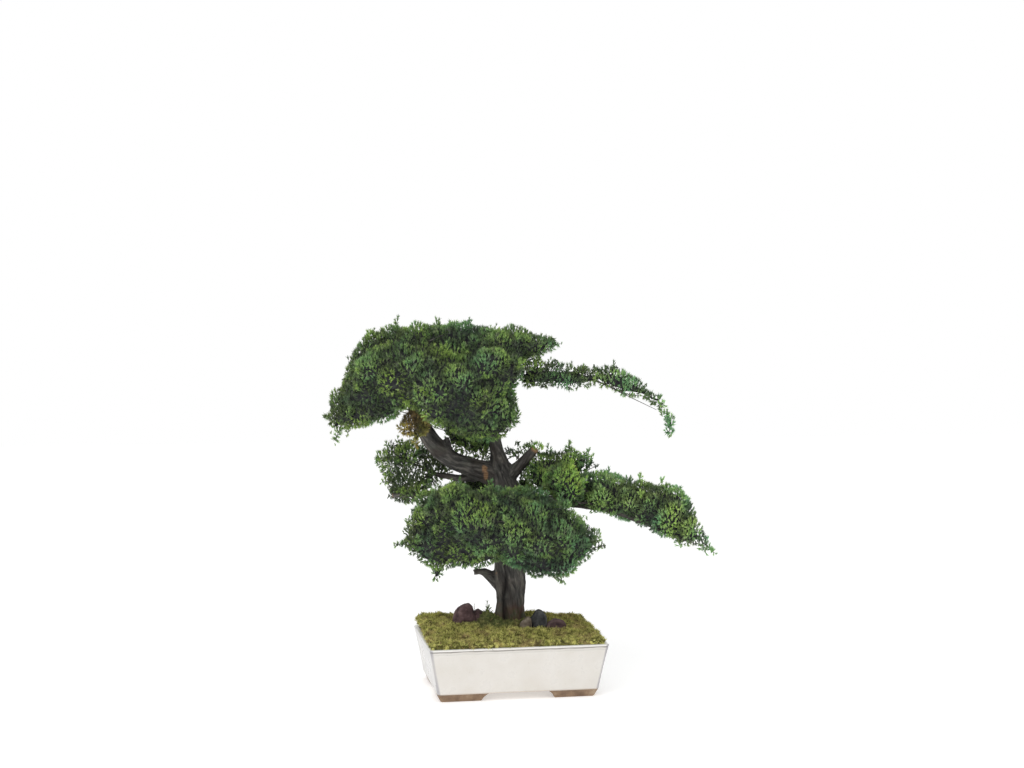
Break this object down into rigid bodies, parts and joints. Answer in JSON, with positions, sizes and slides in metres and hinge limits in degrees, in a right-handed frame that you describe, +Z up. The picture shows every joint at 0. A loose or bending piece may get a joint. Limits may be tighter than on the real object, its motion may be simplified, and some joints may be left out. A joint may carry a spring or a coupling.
{
  "type": "juniper bonsai tree in a pot",
  "caption": "Informal upright juniper bonsai with layered foliage pads and long arching branches, in a footed rectangular glazed pot with moss and stones.",
  "frame": {"origin": "on the surface that the pot stands on, under the middle of the pot", "axes": "+Z up, +X to the right along the long side of the pot, -Y towards the front of the pot"},
  "size_m": [0.8135, 0.4341, 0.8014],
  "materials": {
    "cream_glaze": "cream glaze over brown stoneware, bare on the feet",
    "grey_netting": "moulded netting",
    "dark_soil": "granular soil",
    "moss": "tufted moss with dry bits",
    "purple_stone": "rough",
    "tan_stone": "rough",
    "grey_stone": "rough",
    "weed_leaf": "matt leaf",
    "bark": "dark flaking bark",
    "juniper_leaf": "waxy scale leaves",
    "bright_leaf": "young waxy scale leaves",
    "dying_leaf": "dry scale leaves"
  },
  "bodies": {
    "root": {"pot": "cream_glaze", "drain_screen_left": "grey_netting", "drain_screen_right": "grey_netting", "soil": "dark_soil", "moss": "moss", "stone_left": "purple_stone", "stone_left_low": "purple_stone", "stone_tan": "tan_stone", "stone_dark": "grey_stone", "stone_right": "purple_stone", "stone_flat": "grey_stone", "weed_left": "weed_leaf", "weed_thin": "weed_leaf", "weed_bushy": "weed_leaf", "wood": "bark", "crown_dying": "dying_leaf", "right_bright_pad": "bright_leaf", "stub_sprigs": "juniper_leaf", "arching_branch": "juniper_leaf", "right_pad": "juniper_leaf", "right_rising_pad": "juniper_leaf", "mid_left_pad": "juniper_leaf", "low_pad": "juniper_leaf", "back_pad": "juniper_leaf", "crown": "juniper_leaf"}
  },
  "joints": []
}
